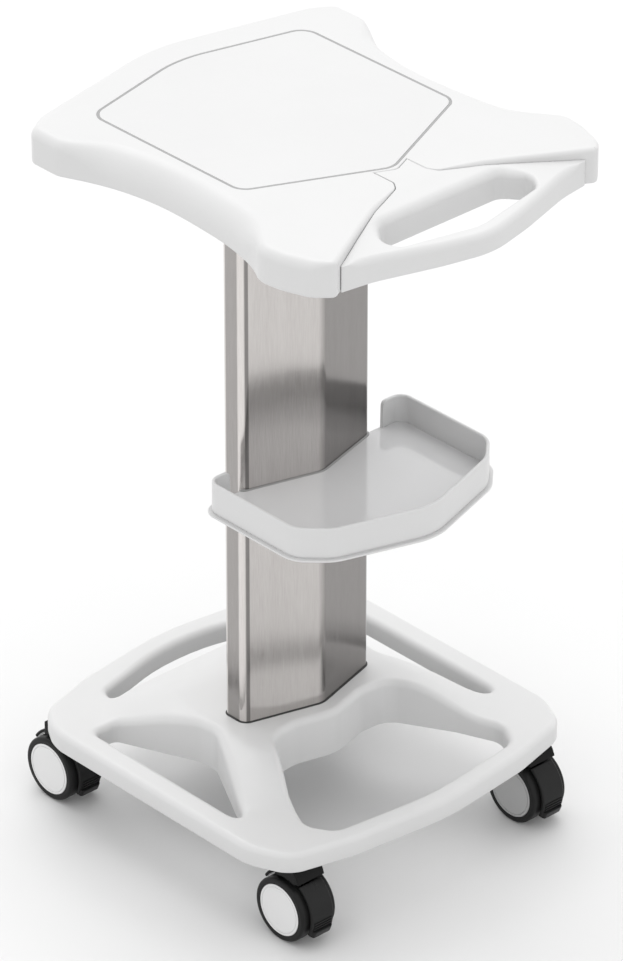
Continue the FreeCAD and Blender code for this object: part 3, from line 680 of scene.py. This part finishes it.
# ---------------------------------------------------------------- shelf
def make_shelf_tray():
    """Floor, outer lip and rounded rail; the rail is left out where the column stands."""
    under = SHELF_FLOOR - TRAY_UNDER
    top = SHELF_FLOOR + TRAY_RAIL
    crest = TRAY_WALL / 2.0
    bm = flat_outline(both_sides(TRAY_HALF), under, degrees=4.0)
    levels = [
        (fixed(under), fixed(3.0)), (fixed(under), fixed(0.6 - TRAY_LIP)),
        (fixed(under + 0.5), fixed(-TRAY_LIP)), (fixed(under + 1.7), fixed(-TRAY_LIP)),
        (fixed(under + 2.2), fixed(0.5 - TRAY_LIP)), (fixed(under + 2.2), fixed(1.0)),
        (fixed(under + 3.8), fixed(1.0)), (fixed(under + 4.2), fixed(0.0)),
    ]
    crest_steps = 8
    for i in range(crest_steps + 1):
        t = i / crest_steps * math.pi
        levels.append((fixed(top - crest + crest * math.sin(t)), fixed(crest - crest * math.cos(t))))
    levels += [
        (fixed(SHELF_FLOOR + 1.5), fixed(TRAY_WALL)), (fixed(SHELF_FLOOR + 0.4), fixed(TRAY_WALL + 0.4)),
        (fixed(SHELF_FLOOR), fixed(TRAY_WALL + 1.5)),
    ]
    first, last = run_wall(bm, bm.faces[:][0], levels)
    close_flat(bm, first)
    close_flat(bm, last)
    rear = TRAY_HALF[-1][1]
    for step in (0.0, GATE_EDGE, 1.0, 1.7, 2.8, 4.2, 6.0, GATE_ROUND + GATE_EDGE):
        for x in (-GATE_HALF - step, GATE_HALF + step):
            geom = bm.verts[:] + bm.edges[:] + bm.faces[:]
            bmesh.ops.bisect_plane(bm, geom=geom, plane_co=place(x, 0.0, 0.0), plane_no=(1.0, 0.0, 0.0))
    for vert in bm.verts:
        x, y, z = design_point(vert.co)
        if y < rear - 8.0:
            continue
        past = abs(x) - GATE_HALF - GATE_EDGE
        if past < -0.5:
            vert.co.z = min(z, SHELF_FLOOR) * MM
        elif past < GATE_ROUND:
            short = GATE_ROUND - max(0.0, past)
            fall = GATE_ROUND - math.sqrt(max(0.0, GATE_ROUND ** 2 - short ** 2))
            vert.co.z = min(z, top - fall) * MM
    return finish_piece(bm, "shelf_tray_moulding", "trolley", white_shell, ["shelf_tray"])


# ---------------------------------------------------------------- base
def crown_height(x, y):
    """The base rises from its rim to the foot of the column, more steeply at the front."""
    hub_half, hub_front, hub_rear, hub_round, slope_run = 100.0, -60.0, 44.0, 12.0, 93.0
    across = max(0.0, abs(x) - hub_half) * 1.15
    along = hub_front - y if y < hub_front else max(0.0, y - hub_rear) * 0.7
    away = max(0.0, math.hypot(across, along) - hub_round)
    return RIM_TOP + (HUB_TOP - RIM_TOP) * (1.0 - smooth01(away, 0.0, slope_run))


def make_base():
    """Rim, arms and hub in one moulding with four openings, crowned towards the column."""
    bm = flat_outline(both_sides(BASE_HALF), BASE_UNDER, degrees=4.0)
    face = split_long_edges(bm, bm.faces[:][0], BASE_LONG_EDGE)
    ledge = BASE_UNDER + BASE_CAVITY
    inside = [(fixed(ledge), fixed(BASE_WALL)), (fixed(BASE_UNDER), fixed(BASE_WALL))]
    outside = rounded_rise(BASE_UNDER, RIM_TOP, 1.5, fixed(7.0), fixed(7.5))
    low_rings, top_rings = run_wall(bm, face, inside + outside)
    around_hole = [(fixed(ledge), fixed(-BASE_WALL)), (fixed(BASE_UNDER), fixed(-BASE_WALL))]
    around_hole += rounded_rise(BASE_UNDER, RIM_TOP, 0.6, fixed(8.5), fixed(8.5), hole=True)
    openings = (SIDE_OPENING, other_side(SIDE_OPENING), both_sides(FRONT_OPENING), both_sides(REAR_OPENING))
    for opening in openings:
        hole = split_long_edges(bm, flat_outline(opening, BASE_UNDER, bm), BASE_LONG_EDGE)
        low, high = run_wall(bm, hole, around_hole)
        low_rings, top_rings = low_rings + low, top_rings + high
    close_flat(bm, low_rings)
    close_flat(bm, top_rings)
    level = (RIM_TOP - 0.01) * MM
    for step in range(-27, 28):
        cuts = ((place(step * CROWN_GRID, 0.0, 0.0), (1.0, 0.0, 0.0)),
                (place(0.0, (step + 0.5) * CROWN_GRID, 0.0), (0.0, 1.0, 0.0)))
        for spot, direction in cuts:
            flat = [f for f in bm.faces if min(v.co.z for v in f.verts) > level]
            geom = flat + list({e for f in flat for e in f.edges}) + list({v for f in flat for v in f.verts})
            bmesh.ops.bisect_plane(bm, geom=geom, plane_co=spot, plane_no=direction)
    for vert in bm.verts:
        x, y, z = design_point(vert.co)
        lift = crown_height(x, y) - RIM_TOP
        vert.co.z += lift * smooth01(z, BASE_UNDER + 8.0, BASE_UNDER + 16.0) * MM
    return finish_piece(bm, "base_moulding", "trolley", white_shell, ["base_cover"],
                        weighted=False)


# ---------------------------------------------------------------- casters
def ring_profile(bm, points, centre):
    """Closed profile in the plane above the wheel centre, from (x, radius, rounding)."""
    flat = bmesh.new()
    verts = [flat.verts.new(centre + Vector((x * MM, 0.0, r * MM))) for x, r, _ in points]
    flat.faces.new(verts)
    round_corners(flat, verts, points, 18.0)
    face = merge_into(bm, flat)[0]
    edges = list(face.edges)
    bmesh.ops.delete(bm, geom=[face], context="FACES_ONLY")
    return edges


def turn(bm, edges, centre):
    """Sweep edges once around the wheel axle."""
    geom = edges + list({v for e in edges for v in e.verts})
    bmesh.ops.spin(bm, geom=geom, cent=centre, axis=(1.0, 0.0, 0.0), dvec=(0.0, 0.0, 0.0),
                   angle=math.radians(360.0), steps=WHEEL_STEPS, use_merge=True, use_duplicate=False)


def swept_bar(bm, points, centre, first, last, end_round=1.0):
    """Bar bent around the axle between two angles, counted from the front upwards."""
    fresh = bmesh.new()
    edges = ring_profile(fresh, points, centre)
    # The profile is made straight above the centre, at 90 degrees, and turned to the first angle.
    verts = list({v for e in edges for v in e.verts})
    to_first = Matrix.Rotation(math.radians(90.0 - first), 3, "X")
    bmesh.ops.rotate(fresh, verts=verts, cent=centre, matrix=to_first)
    geom = edges + verts
    steps = max(3, int((last - first) / 4.0))
    bmesh.ops.spin(fresh, geom=geom, cent=centre, axis=(1.0, 0.0, 0.0), dvec=(0.0, 0.0, 0.0),
                   angle=math.radians(first - last), steps=steps, use_merge=False, use_duplicate=False)
    open_edges = [e for e in fresh.edges if e.is_boundary]
    ends = bmesh.ops.holes_fill(fresh, edges=open_edges, sides=0)["faces"]
    rims = list({e for f in ends for e in f.edges})
    bmesh.ops.bevel(fresh, geom=rims, offset=end_round * MM, offset_type="OFFSET", segments=3, profile=0.5,
                    affect="EDGES", material=-1, clamp_overlap=True)
    bmesh.ops.recalc_face_normals(fresh, faces=fresh.faces[:])
    merge_into(bm, fresh)


def caster_corner(tag):
    """Middle of a caster across, its wheel centre, and where its stem stands."""
    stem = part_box("stem_" + tag)
    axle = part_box("axle_" + tag)
    x = 0.5 * (axle[0].x + axle[1].x) / MM
    centre = Vector((0.0, 0.5 * (axle[0].y + axle[1].y), WHEEL_RADIUS * MM))
    stem_y = 0.5 * (stem[0].y + stem[1].y) / MM
    return x, centre, stem_y


def bar_section(x, half, inside, outside, inner_round, outer_round, outer_half=None):
    """Section of a bar bent around the wheels: flat inside, rounded outside."""
    top_half = half if outer_half is None else outer_half
    return [
        (x - half, inside, inner_round), (x + half, inside, inner_round),
        (x + top_half, outside, outer_round), (x - top_half, outside, outer_round),
    ]


def make_wheel(tag, side, label):
    """Tyre and wheel centre; side points from the middle of the caster to this wheel."""
    x, centre, _ = caster_corner(tag)
    inner = x + side * TYRE_INSIDE
    outer = x + side * TYRE_OUTSIDE
    body = "wheel_" + label + "_" + tag
    bm = bmesh.new()
    rubber = [
        (inner, TYRE_SEAT, 0.0), (inner, WHEEL_RADIUS, 4.0),
        (outer, WHEEL_RADIUS, 5.5), (outer, TYRE_SEAT, 0.0),
    ]
    turn(bm, ring_profile(bm, rubber, centre), centre)
    finish_piece(bm, "tyre_rubber_" + label + "_" + tag, body, tyre_black,
                 ["tyre_" + label + "_" + tag])
    bm = bmesh.new()
    bore_end = x + side * 21.3
    boss_end = x + side * 5.3
    ring_groove = outer - side * 0.8
    cap = [
        (bore_end, 0.0, 0.0), (bore_end, HUB_BORE, 0.0), (boss_end, HUB_BORE, 0.0), (boss_end, HUB_BOSS, 0.5),
        (inner, HUB_BOSS, 0.0), (inner, HUB_RADIUS, 0.6), (outer, HUB_RADIUS, 1.6), (outer, 27.6, 0.3),
        (ring_groove, 27.4, 0.0), (ring_groove, 26.6, 0.0), (outer, 26.4, 0.3), (outer, 0.0, 0.0),
    ]
    edges = ring_profile(bm, cap, centre)
    on_axle = [e for e in edges if max(abs(v.co.z - centre.z) for v in e.verts) < 0.01 * MM]
    bmesh.ops.delete(bm, geom=on_axle, context="EDGES")
    turn(bm, bm.edges[:], centre)
    # Inner wheel centres take the darker copy of the white moulding: painted shade.
    finish = wheel_white if label == "outer" else wheel_painted_shade_grey
    finish_piece(bm, "wheel_centre_" + label + "_" + tag, body, finish,
                 ["hub_" + label + "_" + tag])


def side_plate(centre, x, width, corners, corner_round, rim_round=0.0):
    """Block with a rounded side outline, given as (ahead of or behind the axle, above the axle)."""
    bm = bmesh.new()
    verts = [bm.verts.new(centre + Vector((x * MM, y * MM, z * MM))) for y, z in corners]
    bm.faces.new(verts)
    bmesh.ops.bevel(bm, geom=verts, offset=corner_round * MM, offset_type="OFFSET", segments=4, profile=0.5,
                    affect="VERTICES", material=-1, clamp_overlap=True)
    made = bmesh.ops.extrude_face_region(bm, geom=bm.faces[:])["geom"]
    moved = [g for g in made if isinstance(g, bmesh.types.BMVert)]
    bmesh.ops.translate(bm, verts=moved, vec=Vector((width * MM, 0.0, 0.0)))
    bmesh.ops.recalc_face_normals(bm, faces=bm.faces[:])
    if rim_round > 0.0:
        rims = [e for e in bm.edges if abs(e.verts[0].co.x - e.verts[1].co.x) < 0.01 * MM]
        bmesh.ops.bevel(bm, geom=rims, offset=rim_round * MM, offset_type="OFFSET", segments=3, profile=0.5,
                        affect="EDGES", material=-1, clamp_overlap=True)
    return bm


def make_fork(tag):
    """Hood over the wheels behind the pedal, saddle under the stem, and two cheeks down to the axle."""
    x, centre, stem_y = caster_corner(tag)
    bm = bmesh.new()
    swept_bar(bm, bar_section(x, HOOD_HALF, GUARD_INSIDE, HOOD_OUTSIDE, 1.0, 1.6), centre, *HOOD_ANGLES)
    ahead = stem_y - centre.y / MM
    top = BASE_UNDER - 2.5 - WHEEL_RADIUS
    saddle = [
        (ahead - 17.0, 39.6), (-19.4, 39.0), (-18.0, 35.4), (-10.0, 38.4), (0.0, 39.6), (ahead + 20.0, 37.8),
        (ahead + 20.0, top), (ahead - 8.0, top), (ahead - 14.0, 47.0),
    ]
    merge_into(bm, side_plate(centre, x - SADDLE_HALF, 2.0 * SADDLE_HALF, saddle, 1.4, 1.6))
    cheek = [(-12.0, -6.0), (12.0, -6.0), (31.0, 20.0), (22.0, 36.0), (-20.0, 40.0)]
    for start in (x - 5.0, x + 5.0 - CHEEK_THICKNESS):
        merge_into(bm, side_plate(centre, start, CHEEK_THICKNESS, cheek, 4.0))
    finish_piece(bm, "caster_fork_" + tag, "caster_" + tag, hood_black, ["fork_" + tag])


def make_pedal(tag):
    """Curved brake plate with a toe, three grip ribs and an arm down to the axle."""
    x, centre, _ = caster_corner(tag)
    bm = bmesh.new()
    plate = bar_section(x, PEDAL_HALF, GUARD_INSIDE, PEDAL_OUTSIDE, 0.8, 1.6)
    swept_bar(bm, plate, centre, *PEDAL_ANGLES, end_round=1.4)
    toe = bar_section(x, PEDAL_HALF - 0.2, GUARD_INSIDE + 0.1, 46.6, 0.8, 3.6, outer_half=12.5)
    swept_bar(bm, toe, centre, *TOE_ANGLES, end_round=2.9)
    for number in range(3):
        low = RIB_FIRST + RIB_PITCH * number
        swept_bar(bm, bar_section(x, 12.5, 41.0, 44.4, 0.4, 0.5), centre, low, low + RIB_WIDTH)
    swept_bar(bm, bar_section(x, 1.9, 4.3, 40.4, 0.3, 0.3), centre, *ARM_ANGLES)
    finish_piece(bm, "brake_pedal_" + tag, "pedal_" + tag, pedal_black, ["pedal_" + tag])


# ---------------------------------------------------------------- steel inside the base
def make_trimmed_steel(node_name, piece_name, finish):
    """Steelwork cut back behind the rounded rear corners of the base, around the rear casters."""
    bm = bmesh.new()
    bm.from_mesh(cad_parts[node_name].data)
    bmesh.ops.remove_doubles(bm, verts=bm.verts[:], dist=0.00001)
    # Planes around the rear corner: direction outwards and backwards, and how far from the stem.
    planes = ((0.287, 0.958, 11.0), (0.46, 0.888, 13.2), (0.62, 0.785, 16.0))
    for side, tag in ((-1.0, "rl"), (1.0, "rr")):
        x, _, stem_y = caster_corner(tag)
        for across, back, reach in planes:
            spot = Vector(((x + side * across * reach) * MM, (stem_y + back * reach) * MM, 0.0))
            geom = bm.verts[:] + bm.edges[:] + bm.faces[:]
            bmesh.ops.bisect_plane(bm, geom=geom, plane_co=spot, plane_no=(side * across, back, 0.0),
                                   clear_outer=True)
            bmesh.ops.holes_fill(bm, edges=[e for e in bm.edges if e.is_boundary], sides=0)
    return finish_piece(bm, piece_name, "trolley", finish, [node_name], weighted=False)


make_trimmed_steel("base_frame", "base_frame_plate", frame_paint)
make_trimmed_steel("caster_sockets", "caster_socket_cups", zinc)
make_table_top()
make_writing_panel()
make_panel_seam()
make_push_handle()
make_column()
make_foot_seal()
make_shelf_seal()
make_shelf_tray()
make_base()
for tag, outward in (("fl", -1.0), ("fr", 1.0), ("rl", -1.0), ("rr", 1.0)):
    make_wheel(tag, outward, "outer")
    make_wheel(tag, -outward, "inner")
    make_fork(tag)
    make_pedal(tag)

# ---------------------------------------------------------------- stage, light and camera
floor_bm = bmesh.new()
bmesh.ops.create_grid(floor_bm, x_segments=1, y_segments=1, size=6.0)
floor_mesh = bpy.data.meshes.new("studio_floor")
floor_bm.to_mesh(floor_mesh)
floor_bm.free()
floor = bpy.data.objects.new("studio_floor", floor_mesh)
bpy.context.scene.collection.objects.link(floor)
floor_paint, nodes, links, shader, coords = new_finish("floor_paint")
cloud = noise_from(nodes, links, coords.outputs["Object"], 3.0, 2.0)
floor_tone = tint(nodes, links, cloud.outputs["Fac"], grey(0.675), grey(0.69))
links.new(floor_tone, shader.inputs["Base Color"])
shader.inputs["Roughness"].default_value = 0.6
floor_mesh.materials.append(floor_paint)

world = bpy.data.worlds.new("studio")
bpy.context.scene.world = world
world.use_nodes = True
background = world.node_tree.nodes["Background"]
background.inputs["Color"].default_value = (1.0, 1.0, 1.0, 1.0)
background.inputs["Strength"].default_value = 1.2

sun_data = bpy.data.lights.new("window_light", "SUN")
sun_data.energy = 1.0
sun_data.angle = math.radians(55.0)
sun = bpy.data.objects.new("window_light", sun_data)
bpy.context.scene.collection.objects.link(sun)
sun.rotation_euler = Vector((-0.2, -0.4, -1.0)).to_track_quat("-Z", "Y").to_euler()

camera_data = bpy.data.cameras.new("camera")
camera = bpy.data.objects.new("camera", camera_data)
bpy.context.scene.collection.objects.link(camera)
camera_data.sensor_width = 36.0
camera_data.sensor_fit = "AUTO"
camera_data.lens = 246.78
camera_data.clip_start = 0.5
camera_data.clip_end = 60.0
camera.location = (-4.123357, -4.512908 + MID_Y, 3.971148)
camera.rotation_euler = (math.radians(90.0 - 30.2246), 0.0, math.radians(-42.587))
bpy.context.scene.camera = camera
bpy.context.scene.view_settings.view_transform = "Standard"
